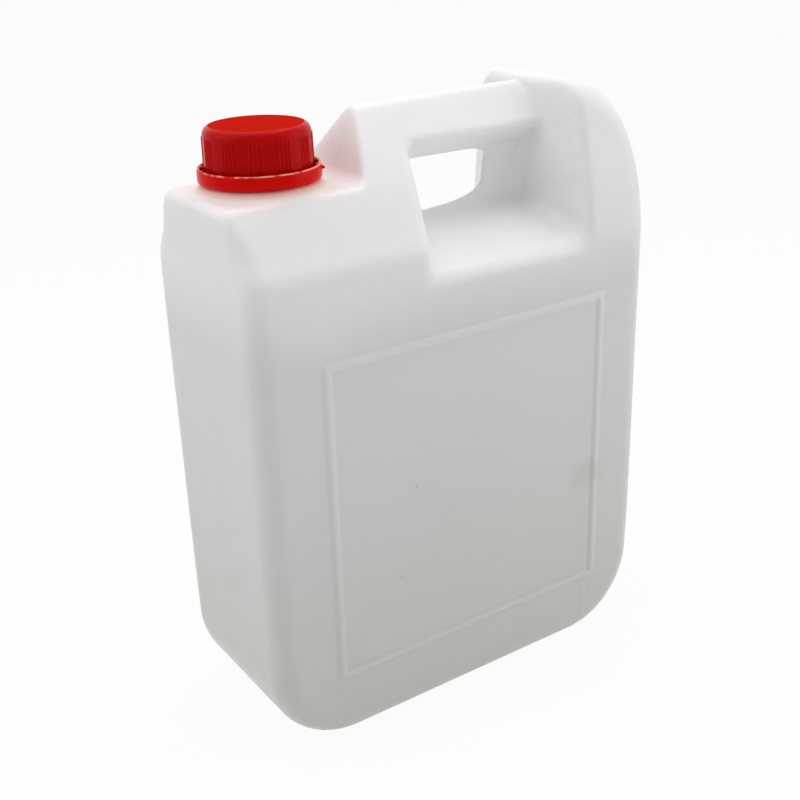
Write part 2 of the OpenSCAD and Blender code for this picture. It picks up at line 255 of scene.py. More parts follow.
def skin_over(field, xs, ys, zs):
    """Vertices, quads and normals of the surface where a distance function is zero."""
    shape = (len(xs), len(ys), len(zs))
    grid = np.stack(np.meshgrid(xs, ys, zs, indexing="ij"), -1).reshape(-1, 3)
    value = np.concatenate([field(part) for part in np.array_split(grid, 12)])
    value = value.reshape(shape)
    inside = value < 0.0

    # One vertex in every cell that the surface crosses
    corners = [inside[i:shape[0] - 1 + i, j:shape[1] - 1 + j, k:shape[2] - 1 + k]
               for i in (0, 1) for j in (0, 1) for k in (0, 1)]
    count = np.sum(np.stack(corners), axis=0)
    mixed = (count > 0) & (count < 8)
    index = np.full(mixed.shape, -1, dtype=np.int64)
    index[mixed] = np.arange(mixed.sum())
    ci, cj, ck = np.nonzero(mixed)
    total, hits = np.zeros((len(ci), 3)), np.zeros(len(ci))
    lines = (xs, ys, zs)
    for axis in range(3):
        others = [a for a in range(3) if a != axis]
        for da in (0, 1):
            for db in (0, 1):
                first = [ci.copy(), cj.copy(), ck.copy()]
                first[others[0]] += da
                first[others[1]] += db
                second = [f.copy() for f in first]
                second[axis] += 1
                a, b = value[tuple(first)], value[tuple(second)]
                cross = (a < 0) != (b < 0)
                t = np.where(cross, a / np.where(cross, a - b, 1.0), 0.0)
                at = np.stack([lines[n][first[n]] for n in range(3)], -1)
                at[:, axis] += t * (lines[axis][second[axis]] - lines[axis][first[axis]])
                total[cross] += at[cross]
                hits[cross] += 1
    points = total / hits[:, None]

    # One quad for every grid edge that the surface crosses
    quads = []
    for axis in range(3):
        a = inside[tuple(slice(0, -1) if n == axis else slice(None) for n in range(3))]
        b = inside[tuple(slice(1, None) if n == axis else slice(None) for n in range(3))]
        where = np.stack(np.nonzero(a != b), -1)
        u, v = [n for n in range(3) if n != axis]
        keep = (where[:, u] > 0) & (where[:, v] > 0)
        where = where[keep]
        keep = (where[:, u] < shape[u] - 1) & (where[:, v] < shape[v] - 1)
        where = where[keep]
        flip = a[tuple(where.T)] if axis != 1 else ~a[tuple(where.T)]
        ring = []
        for du, dv in ((-1, -1), (0, -1), (0, 0), (-1, 0)):
            cell = where.copy()
            cell[:, u] += du
            cell[:, v] += dv
            ring.append(index[tuple(cell.T)])
        ring = np.stack(ring, -1)
        quads.append(np.where(flip[:, None], ring, ring[:, ::-1]))
    quads = np.concatenate(quads)

    # Each vertex settles onto the surface, and its normal is the way the distance grows
    points, slope = settle(field, points, 3)
    return points, quads, slope


def settle(field, points, rounds):
    """Moves points onto the surface and gives the unit normals there."""
    step = 0.15
    for turn in range(rounds + 1):
        here = field(points)
        slope = np.empty_like(points)
        for axis in range(3):
            beside = points.copy()
            beside[:, axis] += step
            behind = points.copy()
            behind[:, axis] -= step
            slope[:, axis] = (field(beside) - field(behind)) / (2 * step)
        length = np.maximum(np.linalg.norm(slope, axis=1), 0.2)
        if turn < rounds:
            move = np.clip(here / length, -1.2, 1.2)
            points = points - slope / length[:, None] * move[:, None]
    return points, slope / length[:, None]


# Meshes

def skin_mesh(name, points, quads, normals):
    """A smooth mesh in metres from points in millimetres."""
    mesh = bpy.data.meshes.new(name)
    used = np.unique(quads)
    renumber = np.full(len(points), -1)
    renumber[used] = np.arange(len(used))
    mesh.from_pydata((points[used] * MM).tolist(), [], renumber[quads].tolist())
    mesh.update()
    mesh.shade_smooth()
    mesh.normals_split_custom_set_from_vertices(normals[used].tolist())
    return mesh


def turned(profile, sides, bulge=None):
    """Vertices and quads of a closed profile [(radius, height)] swept round the neck's axis."""
    verts, faces = [], []
    for i in range(sides):
        a = 2 * math.pi * i / sides
        for r, z in profile:
            rr = r + (bulge(a, r, z) if bulge else 0.0)
            verts.append((rr * math.cos(a), rr * math.sin(a), z))
    n = len(profile)
    for i in range(sides):
        j = (i + 1) % sides
        for k in range(n):
            m = (k + 1) % n
            faces.append((i * n + k, j * n + k, j * n + m, i * n + m))
    return verts, faces


def helix(root, height, z, start, turns):
    """A thread ridge that fades in and out, as vertices and quads."""
    pitch, width = THREAD_PITCH, THREAD_WIDTH
    steps = int(turns * 72)
    profile = ((-0.5, 0.0), (-0.30, 0.72), (-0.14, 1.0), (0.14, 1.0), (0.30, 0.72), (0.5, 0.0))
    sink = -0.4 if height > 0 else 0.4
    verts, faces = [], []
    for i in range(steps + 1):
        t = i / steps
        a = 2 * math.pi * (start + t * turns)
        full = min(1.0, min(t, 1 - t) * turns / 0.08 + 0.05)
        for k, (across, out) in enumerate(profile):
            r = root + (height * full * out if out else sink)
            rise = z + t * turns * pitch + across * width
            verts.append((r * math.cos(a), r * math.sin(a), rise))
    n = len(profile)
    for i in range(steps):
        for k in range(n):
            m = (k + 1) % n
            quad = (i * n + k, (i + 1) * n + k, (i + 1) * n + m, i * n + m)
            faces.append(quad if height > 0 else quad[::-1])
    ends = tuple(range(n)), tuple(steps * n + k for k in range(n))
    faces.append(ends[0] if height > 0 else ends[0][::-1])
    faces.append(ends[1][::-1] if height > 0 else ends[1])
    return verts, faces


def joined_mesh(name, parts, centre, sharp=35.0):
    """One mesh from (vertices, faces) parts given in millimetres round a centre."""
    mesh = bpy.data.meshes.new(name)
    verts, faces = [], []
    for part_verts, part_faces in parts:
        base = len(verts)
        verts += [(v[0] * MM + centre, v[1] * MM, v[2] * MM) for v in part_verts]
        faces += [tuple(base + i for i in f) for f in part_faces]
    mesh.from_pydata(verts, [], faces)
    bm = bmesh.new()
    bm.from_mesh(mesh)
    bmesh.ops.recalc_face_normals(bm, faces=bm.faces)
    for edge in bm.edges:
        if len(edge.link_faces) == 2 and edge.calc_face_angle(0.0) > math.radians(sharp):
            edge.smooth = False
    bm.to_mesh(mesh)
    bm.free()
    mesh.update()
    return mesh


def smooth_object(name, mesh, material, body):
    """A smooth-shaded object that rides on a body of the frame."""
    for face in mesh.polygons:
        face.use_smooth = True
    obj = bpy.data.objects.new(name, mesh)
    bpy.context.scene.collection.objects.link(obj)
    mesh.materials.append(material)
    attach(obj, body)
    return obj


# Materials

class Nodes:
    """Short calls for one material's node tree."""

    def __init__(self, name):
        self.material = bpy.data.materials.new(name)
        self.material.use_nodes = True
        self.tree = self.material.node_tree
        self.shader = self.tree.nodes["Principled BSDF"]
        self.output = self.tree.nodes["Material Output"]

    def add(self, kind, **values):
        node = self.tree.nodes.new("ShaderNode" + kind)
        for key, value in values.items():
            if key in node.inputs:
                node.inputs[key].default_value = value
            else:
                setattr(node, key, value)
        return node

    def link(self, a, b):
        self.tree.links.new(a, b)

    def math(self, operation, a, b=None, c=None):
        node = self.add("Math", operation=operation)
        for socket, value in zip(node.inputs, (a, b, c)):
            if value is None:
                continue
            if isinstance(value, (int, float)):
                socket.default_value = value
            else:
                self.link(value, socket)
        return node.outputs[0]

    def noise(self, coords, scale, detail=3.0, rough=0.5):
        node = self.add("TexNoise", Scale=scale, Detail=detail, Roughness=rough)
        self.link(coords, node.inputs["Vector"])
        return node.outputs["Fac"]

    def range(self, value, a, b, c=0.0, d=1.0):
        node = self.add("MapRange", interpolation_type="SMOOTHSTEP")
        self.link(value, node.inputs["Value"])
        for key, number in (("From Min", a), ("From Max", b), ("To Min", c), ("To Max", d)):
            node.inputs[key].default_value = number
        return node.outputs["Result"]

    def length(self, a, b):
        """The length of a vector with two parts."""
        squares = self.math("MULTIPLY", a, a), self.math("MULTIPLY", b, b)
        return self.math("SQRT", self.math("ADD", *squares))

    def mix(self, factor, a, b):
        node = self.add("Mix", data_type="RGBA")
        self.link(factor, node.inputs[0])
        for socket, colour in ((node.inputs[6], a), (node.inputs[7], b)):
            if isinstance(colour, (tuple, list)):
                socket.default_value = (*colour[:3], 1.0)
            else:
                self.link(colour, socket)
        return node.outputs[2]

    def bump(self, height, distance, strength, after=None):
        node = self.add("Bump", Distance=distance, Strength=strength)
        self.link(height, node.inputs["Height"])
        if after:
            self.link(after, node.inputs["Normal"])
        return node.outputs["Normal"]


def milky_plastic(finish):
    """Natural polyethylene: milky and satin, with painted light round the deck and handle, painted
    shade low down and a painted red reflection round the neck, with a smudge and a few specks.
    """
    m = Nodes("natural_milky_polyethylene")
    place = m.add("TexCoord").outputs["Object"]
    axes = m.add("SeparateXYZ")
    m.link(place, axes.inputs[0])
    x, y, z = axes.outputs

    # Painted light round the deck and handle and painted shade towards the foot, with cloudy
    # unevenness in the wall's thickness
    cloud = m.noise(place, 9.0, 3.0)
    height = m.math("MULTIPLY_ADD", cloud, 0.05, z)
    low = m.range(height, 0.235, 0.02, 0.0, 1.0)
    tone = m.mix(low, tuple(finish.body), tuple(finish.body_low_painted_shade))
    tone = m.mix(m.range(height, 0.225, 0.268, 0.0, 1.0), tone, tuple(finish.body_top_painted_light))

    # Painted red reflection of the ring and cap on the plastic round the neck
    away = m.length(m.math("SUBTRACT", x, NECK_X), y)
    deck = m.range(z, 0.2655, 0.2715, 0.0, 1.0)
    wide = m.math("MULTIPLY", deck, m.range(away, 0.052, 0.026, 0.0, 0.13))
    close = m.math("MULTIPLY", deck, m.range(away, 0.0300, 0.0262, 0.0, 0.6))
    tone = m.mix(wide, tone, RED_REFLECTION_PAINT_WIDE)
    tone = m.mix(close, tone, RED_REFLECTION_PAINT_CLOSE)
    grain = m.noise(place, 420.0, 2.0)
    tone = m.mix(m.range(grain, 0.3, 0.7, 0.0, 0.05), tone, GRAIN)

    # Handling dirt: a grey smudge beside the label's border and a few dark specks
    spots = None
    for sx, sz, wide, tall, deep in MARKS:
        dx = m.math("DIVIDE", m.math("SUBTRACT", x, sx), wide)
        dz = m.math("DIVIDE", m.math("SUBTRACT", z, sz), tall)
        reach = m.math("MULTIPLY_ADD", m.noise(place, 90.0, 4.0), 0.9, m.length(dx, dz))
        spot = m.range(reach, 0.5, 1.6, deep, 0.0)
        front = m.range(y, -0.047, -0.045, 1.0, 0.0)
        spot = m.math("MULTIPLY", spot, front)
        spots = spot if spots is None else m.math("MAXIMUM", spots, spot)
    tone = m.mix(spots, tone, DIRT)
    m.link(tone, m.shader.inputs["Base Color"])

    wear = m.noise(place, 60.0, 5.0, 0.6)
    m.link(m.range(wear, 0.3, 0.7, finish.body_rough - 0.05, finish.body_rough + 0.07),
           m.shader.inputs["Roughness"])

    # Cast-in texture, a soft ripple and the mould's parting line
    fine = m.bump(m.noise(place, 900.0, 2.0), 0.00004, 0.5)
    ripple = m.bump(m.noise(place, 28.0, 2.0), 0.0006, 0.25, fine)
    line = m.range(m.math("ABSOLUTE", y), 0.0002, 0.0007, 1.0, 0.0)
    m.link(m.bump(line, 0.00025, 0.6, ripple), m.shader.inputs["Normal"])

    s = m.shader.inputs
    s["Subsurface Weight"].default_value = finish.body_glow
    s["Subsurface Radius"].default_value = (1.0, 0.95, 0.85)
    s["Subsurface Scale"].default_value = 0.006
    s["IOR"].default_value = 1.5
    s["Specular IOR Level"].default_value = 0.35
    return m.material


def red_plastic(name, finish, colours, highlight_rim_z=None, matte=False):
    """Red injection-moulded plastic, clouded between two tones, glossy or finely matte, with a
    painted highlight along a rim when one is given.
    """
    m = Nodes(name)
    place = m.add("TexCoord").outputs["Object"]
    axes = m.add("SeparateXYZ")
    m.link(place, axes.inputs[0])
    cloud = m.noise(place, 120.0, 4.0)
    colour = m.mix(m.range(cloud, 0.3, 0.7, 0.0, 0.25), tuple(colours[0]), tuple(colours[1]))
    if highlight_rim_z:
        # Painted highlight: a broken pale band along the ring's top rim
        rim = m.range(axes.outputs[2], highlight_rim_z - 0.0008, highlight_rim_z - 0.0002, 0.0, 1.0)
        broken = m.range(m.noise(place, 130.0, 2.0), 0.42, 0.56, 0.0, 0.8)
        colour = m.mix(m.math("MULTIPLY", rim, broken), colour, RIM_HIGHLIGHT_PAINT)
    m.link(colour, m.shader.inputs["Base Color"])
    rub = m.noise(place, 300.0, 4.0, 0.6)
    gloss = m.range(rub, 0.3, 0.75, finish.cap_rough, finish.cap_rough + 0.12)
    rough = m.math("ADD", gloss, 0.34 if matte else 0.0)
    m.link(rough, m.shader.inputs["Roughness"])
    grain = m.noise(place, 2200.0, 3.0)
    m.link(m.bump(grain, 0.00006 if matte else 0.00001, 0.7), m.shader.inputs["Normal"])
    s = m.shader.inputs
    s["IOR"].default_value = 1.5
    s["Specular IOR Level"].default_value = 0.0 if matte else 0.06
    s["Subsurface Weight"].default_value = 0.15
    s["Subsurface Radius"].default_value = (1.0, 0.12, 0.08)
    s["Subsurface Scale"].default_value = 0.0012
    return m.material


def liner_foam(finish):
    """Closed-cell foam: off-white with fine cells."""
    m = Nodes("liner_closed_cell_foam")
    place = m.add("TexCoord").outputs["Object"]
    cells = m.add("TexVoronoi", Scale=1400.0)
    m.link(place, cells.inputs["Vector"])
    shade = m.range(cells.outputs["Distance"], 0.1, 0.6, 0.0, 0.3)
    m.link(m.mix(shade, tuple(finish.liner), FOAM_CELL), m.shader.inputs["Base Color"])
    m.link(m.bump(cells.outputs["Distance"], 0.0001, 0.6), m.shader.inputs["Normal"])
    m.shader.inputs["Roughness"].default_value = 0.8
    m.shader.inputs["Specular IOR Level"].default_value = 0.2
    return m.material


# Settings that a user would change

class JerrycanBodySettings(bpy.types.PropertyGroup):
    wall: FloatProperty(
        name="Wall", description="Thickness of the blown wall",
        default=0.0012, min=0.0008, max=0.003, unit="LENGTH", subtype="DISTANCE")
    corner: FloatProperty(
        name="Upright corners", description="Radius of the four upright corners",
        default=0.011, min=0.004, max=0.02, unit="LENGTH", subtype="DISTANCE")
    bead_height: FloatProperty(
        name="Label bead height", description="How far the bead round the label area stands out",
        default=0.0010, min=0.0002, max=0.0015, unit="LENGTH", subtype="DISTANCE")
    bead_width: FloatProperty(
        name="Label bead width", description="Width of the bead round the label area",
        default=0.005, min=0.002, max=0.008, unit="LENGTH", subtype="DISTANCE")
    pocket_edge: FloatProperty(
        name="Pocket edge", description="How softly the finger pocket's rim is rounded",
        default=0.005, min=0.001, max=0.009, unit="LENGTH", subtype="DISTANCE")
    flare: FloatProperty(
        name="Bar flare", description="Reach of the curve where the bar runs into the column",
        default=0.005, min=0.002, max=0.02, unit="LENGTH", subtype="DISTANCE")
    cell: FloatProperty(
        name="Mesh cell", description="Spacing of the mesh over the can's skin",
        default=0.002, min=0.0016, max=0.006, unit="LENGTH", subtype="DISTANCE")


class JerrycanCapSettings(bpy.types.PropertyGroup):
    rib_groups: IntProperty(
        name="Rib groups", description="Groups of grip ribs round the cap",
        default=12, min=6, max=18)
    ribs: IntProperty(
        name="Ribs in a group", description="Grip ribs side by side in one group",
        default=4, min=1, max=5)
    rib_height: FloatProperty(
        name="Rib height", description="How far a grip rib stands out from the skirt",
        default=0.0004, min=0.0001, max=0.0008, unit="LENGTH", subtype="DISTANCE")
    chamfer: FloatProperty(
        name="Top shoulder", description="Width of the curved shoulder round the cap's top",
        default=0.0040, min=0.001, max=0.005, unit="LENGTH", subtype="DISTANCE")
    bridges: IntProperty(
        name="Snapped bridges", description="Broken bridges left round the tamper ring",
        default=16, min=4, max=24)


class JerrycanFinishSettings(bpy.types.PropertyGroup):
    body: FloatVectorProperty(
        name="Can", description="Colour of the milky plastic near the shoulder",
        default=(0.77, 0.77, 0.765), min=0.0, max=1.0, subtype="COLOR")
    # Painted light: the plastic made paler round the deck and handle
    body_top_painted_light: FloatVectorProperty(
        name="Can, top", description="Colour of the milky plastic round the deck and handle",
        default=(0.91, 0.91, 0.905), min=0.0, max=1.0, subtype="COLOR")
    # Painted shade: the plastic made darker and greener towards the foot
    body_low_painted_shade: FloatVectorProperty(
        name="Can, low down", description="Colour of the milky plastic near the foot",
        default=(0.63, 0.65, 0.605), min=0.0, max=1.0, subtype="COLOR")
    body_rough: FloatProperty(
        name="Can roughness", description="Roughness of the milky plastic",
        default=0.36, min=0.1, max=0.9, subtype="FACTOR")
    body_glow: FloatProperty(
        name="Can translucency", description="How much light spreads inside the milky plastic",
        default=0.6, min=0.0, max=1.0, subtype="FACTOR")
    cap: FloatVectorProperty(
        name="Cap", description="Colour of the red plastic",
        default=(0.55, 0.001, 0.001), min=0.0, max=1.0, subtype="COLOR")
    cap_dark: FloatVectorProperty(
        name="Cap, deep tone", description="Darker tone that clouds the red plastic",
        default=(0.32, 0.001, 0.001), min=0.0, max=1.0, subtype="COLOR")
    ring: FloatVectorProperty(
        name="Ring", description="Colour of the tamper ring",
        default=(0.74, 0.002, 0.001), min=0.0, max=1.0, subtype="COLOR")
    # The matte top's red, with a painted sheen in its orange cast
    cap_top_and_painted_sheen: FloatVectorProperty(
        name="Cap top", description="Colour of the matte top of the cap",
        default=(0.54, 0.014, 0.007), min=0.0, max=1.0, subtype="COLOR")
    cap_rough: FloatProperty(
        name="Cap roughness", description="Roughness of the glossy red plastic",
        default=0.16, min=0.05, max=0.8, subtype="FACTOR")
    liner: FloatVectorProperty(
        name="Liner", description="Colour of the foam liner",
        default=(0.85, 0.84, 0.78), min=0.0, max=1.0, subtype="COLOR")


class JerrycanStageSettings(bpy.types.PropertyGroup):
    key: FloatProperty(
        name="Left light", description="Power of the soft light from the left",
        default=3.0, min=0.0)
    fill: FloatProperty(
        name="Right light", description="Power of the soft light from the right",
        default=3.6, min=0.0)
    top: FloatProperty(
        name="Top light", description="Power of the soft light from above",
        default=8.0, min=0.0)
    ambient: FloatProperty(
        name="Room light", description="Strength of the even light from the room",
        default=0.44, min=0.0)


class Sizes:
    """The can's sizes in millimetres, from the frame's boxes and the panel's settings."""

    def __init__(self, settings):
        self.width = (CAN_HIGH.x - CAN_LOW.x) / MM
        self.depth = 2 * CAN_HIGH.y / MM
        self.wall = settings.wall / MM
        self.corner_r = settings.corner / MM
        self.bead_h = settings.bead_height / MM
        self.bead_w = settings.bead_width / MM
        self.pocket_edge = settings.pocket_edge / MM
        self.flare = settings.flare / MM
        self.neck_x = NECK_X / MM
        # Heights
        self.shoulder_z, self.deck_z, self.bar_z = 242.5, DECK_Z, 305.0
        self.crest_z, self.crown_z, self.crown_from_z = 306.8, 240.0, 180.0
        # Half the deck's width, and the roundings of bevel, deck end, parting line and feet
        self.deck_half, self.crease, self.deck_round, self.parting_soft = 30.0, 2.5, 5.5, 1.2
        self.foot_end, self.foot_side = 44.0, 12.5
        # The base's shallow panel, the seat round the neck and the walls' slight waves
        self.pan_margin, self.pan_depth = 7.0, 2.0
        self.seat_r, self.seat_h = 26.6, 3.4
        self.waviness = 0.10
        # Column
        self.crest_x, self.crown_power, self.column_round = 70.0, 2.3, 2.0
        self.column_rise, self.column_lean = 58.0, 10.5
        self.web_x, self.web_out, self.column_draft = 66.0, 4.5, 0.2
        self.bar_reach, self.hand_relief = 14.0, 3.0
        # Leg, hand hole and finger pocket
        self.leg_x, self.leg_run = -43.8, 12.0
        self.hole_left, self.hole_width, self.hole_top, self.hole_height = -11.5, 57.5, 273.5, 27.5
        self.hole_slant = 4.5
        self.floor_fall, self.bar_rise, self.leg_draft = 0.43, 0.66, 0.27
        # Label area
        self.frame_x, self.frame_z, self.frame_w, self.frame_h = 1.2, 119.25, 162.5, 161.5
        self.panel_sink = 0.25


# Operators

class JERRYCAN_OT_body(bpy.types.Operator):
    """Builds the blown body, its outer and inner skins and its threaded neck"""
    bl_idname = "jerrycan.body"
    bl_label = "Can body"

    def execute(self, context):
        settings, finish = context.scene.jerrycan_body, context.scene.jerrycan_finish
        s = Sizes(settings)
        cell = settings.cell / MM
        plastic = milky_plastic(finish)
        half_w, half_d = s.width / 2 + 3, s.depth / 2 + 3
        low, high = -3.0, 312.0
        beads = [s.frame_x + side * s.frame_w / 2 for side in (-1, 1)]
        rails = [s.frame_z + side * s.frame_h / 2 for side in (-1, 1)]

        fine = max(0.9, cell * 0.55)
        xs = grid_lines(-half_w, half_w, cell, [(b - 3.5, b + 3.5, fine) for b in beads])
        ys = grid_lines(-half_d, half_d, cell, [(-2.4, 2.4, fine)])
        zs = grid_lines(low, high, cell, [(b - 3.5, b + 3.5, fine) for b in rails]
                        + [(243.0, 250.0, fine), (270.0, 278.0, fine)])
        points, quads, normals = skin_over(lambda p: outer_skin(p, s), xs, ys, zs)
        # The neck's own mesh takes the place of the skin inside the bore
        middle = points[quads].mean(axis=1)
        shaft = (middle[:, 2] > 150) & (middle[:, 2] < s.deck_z - 4)
        shaft = shaft & (around_neck(middle, s) < 19.5)
        mesh = skin_mesh("can_outer_skin", points, quads[~shaft], normals)
        outer = smooth_object("can_outer_skin", mesh, plastic, "can")
        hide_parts("can_body")

        coarse = cell * 2.2
        xs = grid_lines(-half_w, half_w, coarse)
        ys = grid_lines(-half_d, half_d, coarse * 0.8)
        zs = grid_lines(low, high, coarse)
        points, quads, normals = skin_over(lambda p: inner_skin(p, s), xs, ys, zs)
        middle = points[quads].mean(axis=1)
        hole = (around_neck(middle, s) < BORE_R) & (middle[:, 2] > s.deck_z - 6)
        mesh = skin_mesh("can_inner_skin", points, quads[~hole][:, ::-1], -normals)
        inner = smooth_object("can_inner_skin", mesh, plastic, "can")
        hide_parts("can_body")

        # Up the bore, over the lip, down past the catch bead and out to the ring's shelf
        d = s.deck_z
        profile = [
            (BORE_R, d - 1.2), (BORE_R, d + 10), (BORE_R, d + 23.9),
            (17.7, d + 24.3), (18.2, d + 24.4), (19.4, d + 24.4), (19.9, d + 24.2),
            (NECK_R, d + 23.8), (NECK_R, d + 15.0), (NECK_R, d + 9.0),
            (20.7, d + 8.4), (21.9, d + 7.7), (22.1, d + 7.5), (20.1, d + 7.5), (NECK_R, d + 7.3),
            (NECK_R, d + 4.6), (20.2, d + 4.1), (20.6, d + 4.0), (22.4, d + 4.0),
            (22.85, d + 3.85),
            (23.0, d + 3.5), (23.05, d + 1.2), (23.4, d + 0.4), (24.2, d - 0.3), (24.2, d - 0.9),
            (19.2, d - 1.6),
        ]
        tube = turned(profile, 128)
        ridge = helix(NECK_R, THREAD_HEIGHT, d + 15.9, 0.0, 1.5)
        mesh = joined_mesh("neck_finish", [tube, ridge], NECK_X)
        neck = smooth_object("neck_finish", mesh, plastic, "can")
        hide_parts("can_body")
        return {"FINISHED"}


class JERRYCAN_OT_ring(bpy.types.Operator):
    """Builds the tamper ring left on the neck, with its snapped bridges and tab nub"""
    bl_idname = "jerrycan.ring"
    bl_label = "Tamper ring"

    def execute(self, context):
        cap, finish = context.scene.jerrycan_cap, context.scene.jerrycan_finish
        # Across the foot, up the flaring band, over its rim and down to the inner lip
        z = RING_Z / MM
        profile = [
            (20.3, z + 0.2), (20.5, z), (23.5, z), (26.9, z), (27.4, z + 0.12), (27.65, z + 0.5),
            (27.7, z + 1.2), (27.68, z + 3.5), (27.55, z + 5.4), (27.45, z + 5.9),
            (27.1, z + 6.25), (26.75, z + 6.3), (26.4, z + 6.15), (26.22, z + 5.8),
            (26.2, z + 4.0), (26.2, z + 2.0),
            (26.0, z + 1.6), (25.7, z + 1.5), (23.5, z + 1.5), (22.3, z + 1.55), (21.95, z + 1.8),
            (21.95, z + 2.7), (21.7, z + 3.0), (20.6, z + 3.0), (20.3, z + 2.7), (20.3, z + 1.5),
        ]
        parts = [turned(profile, 192)]
        for i in range(cap.bridges):
            a = 2 * math.pi * (i + 0.5) / cap.bridges
            wide = 0.55 + 0.12 * math.sin(i * 2.4)
            reach = 24.55 + 0.35 * (0.5 + 0.5 * math.sin(i * 1.7 + 0.6))
            parts.append(self.stub(a, reach, 26.6, wide, z + 4.7, z + 6.1))
        parts.append(self.stub(math.radians(-34), 29.0, 27.4, 0.7, z + 3.1, z + 4.9))
        mesh = joined_mesh("tamper_ring_band", parts, NECK_X, 50.0)
        red = red_plastic("red_ring_plastic", finish, (finish.ring, finish.cap), RING_HIGH.z)
        ring = smooth_object("tamper_ring_band", mesh, red, "can")
        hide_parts("tamper_ring")
        return {"FINISHED"}

    @staticmethod
    def stub(angle, tip, root, wide, low, high):
        """A broken bridge that narrows towards its tip, or the tab's nub outside the wall."""
        ca, sa = math.cos(angle), math.sin(angle)
        verts = []
        mid = (low + high) / 2
        rings = (root, wide, 1.0), ((root + tip) / 2, wide * 0.75, 0.8), (tip, wide * 0.35, 0.35)
        for r, w, h in rings:
            for dy, dz in ((-w, low - mid), (w, low - mid), (w, high - mid), (-w, high - mid)):
                verts.append((r * ca - dy * sa, r * sa + dy * ca, mid + dz * h))
        faces = [(0, 3, 2, 1), (8, 9, 10, 11)]
        for step in (0, 4):
            for k in range(4):
                m = (k + 1) % 4
                faces.append((step + k, step + m, step + 4 + m, step + 4 + k))
        return verts, faces


class JERRYCAN_OT_cap(bpy.types.Operator):
    """Builds the screw cap with its grip ribs, curved shoulder and inner thread"""
    bl_idname = "jerrycan.cap"
    bl_label = "Screw cap"

    def execute(self, context):
        cap, finish = context.scene.jerrycan_cap, context.scene.jerrycan_finish
        top, foot = CAP_TOP_Z / MM, SKIRT_Z / MM
        ch = cap.chamfer / MM
        shoulder = top - ch
        rib_foot, rib_top = foot + 1.6, shoulder - 0.5
        skirt_r, taper = 24.2, 0.3
        outer = [(22.2, foot), (23.7, foot), (24.05, foot + 0.1), (skirt_r, foot + 0.4)]
        heights = [rib_foot - 0.3, rib_foot, rib_foot + 0.5, rib_foot + 1.4]
        heights += [rib_foot + 1.4 + (rib_top - rib_foot - 3.0) * i / 6 for i in range(1, 7)]
        heights += [rib_top - 0.8, rib_top - 0.35, rib_top, rib_top + 0.2, shoulder]
        for z in heights:
            outer.append((skirt_r - taper * (z - foot) / (shoulder - foot), z))
        r0 = skirt_r - taper
        for i in range(1, 8):
            a = math.radians(12.0 * i)
            outer.append((r0 - ch * (1 - math.cos(a)) * 1.02, shoulder + ch * math.sin(a) * 0.995))
        outer += [(r0 - ch - 0.25, top), (r0 - ch - 0.5, top - 0.04), (r0 - ch - 0.8, top - 0.12)]
        outer += [(r0 - ch - 1.2, top - 0.14), (16.0, top - 0.12), (11.0, top - 0.10),
                  (6.0, top - 0.09), (2.0, top - 0.08), (0.02, top - 0.08)]
        ceiling = top - 1.6
        inner = [(0.02, ceiling), (8.0, ceiling), (16.0, ceiling), (21.6, ceiling),
                 (21.85, ceiling - 0.1), (CAP_BORE_R, ceiling - 0.4), (CAP_BORE_R, foot + 8.0),
                 (CAP_BORE_R, foot + 0.5), (22.0, foot + 0.15)]

        # Angles from rib to rib and across half a rib
        pitch, half_rib = 1.75 / skirt_r, 0.46 / skirt_r
        count, groups, lift = cap.ribs, cap.rib_groups, cap.rib_height / MM

        def ribs(angle, r, z):
            """How far the grip ribs lift a point of the skirt."""
            if r < 23.2 or z < rib_foot - 0.01 or z > rib_top + 0.01:
                return 0.0
            beside = (angle + math.pi / groups) % (2 * math.pi / groups) - math.pi / groups
            near = min(abs(beside - pitch * (i - (count - 1) / 2)) for i in range(count))
            out = max(0.0, 1.0 - (near / half_rib) ** 2) ** 0.6
            fade = min(1.0, (z - rib_foot) / 0.5, (rib_top - z) / 0.35)
            return lift * out * max(0.0, fade)

        shell = turned(outer + inner, 720, ribs)
        thread = helix(CAP_BORE_R, -THREAD_HEIGHT, DECK_Z + 13.1, -0.2, 1.25)
        mesh = joined_mesh("screw_cap_moulding", [shell, thread], NECK_X, 60.0)
        red = red_plastic("red_cap_plastic", finish, (finish.cap, finish.cap_dark))
        obj = smooth_object("screw_cap_moulding", mesh, red, "cap")
        # The flat top has the finer matte finish; the orange cast in its colour is a painted sheen
        disc = red_plastic("red_cap_disc", finish, (finish.cap_top_and_painted_sheen, finish.cap), matte=True)
        mesh.materials.append(disc)
        for face in mesh.polygons:
            if min(mesh.vertices[i].co.z for i in face.vertices) > CAP_TOP_Z - 0.0003:
                face.material_index = 1
        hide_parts("screw_cap")
        return {"FINISHED"}


class JERRYCAN_OT_liner(bpy.types.Operator):
    """Gives the foam liner inside the cap its material"""
    bl_idname = "jerrycan.liner"
    bl_label = "Cap liner"

    def execute(self, context):
        foam = liner_foam(context.scene.jerrycan_finish)
        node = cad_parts["cap_liner"]
        if not node.material_slots:
            node.data.materials.append(foam)
        for slot in node.material_slots:
            slot.material = foam
        return {"FINISHED"}


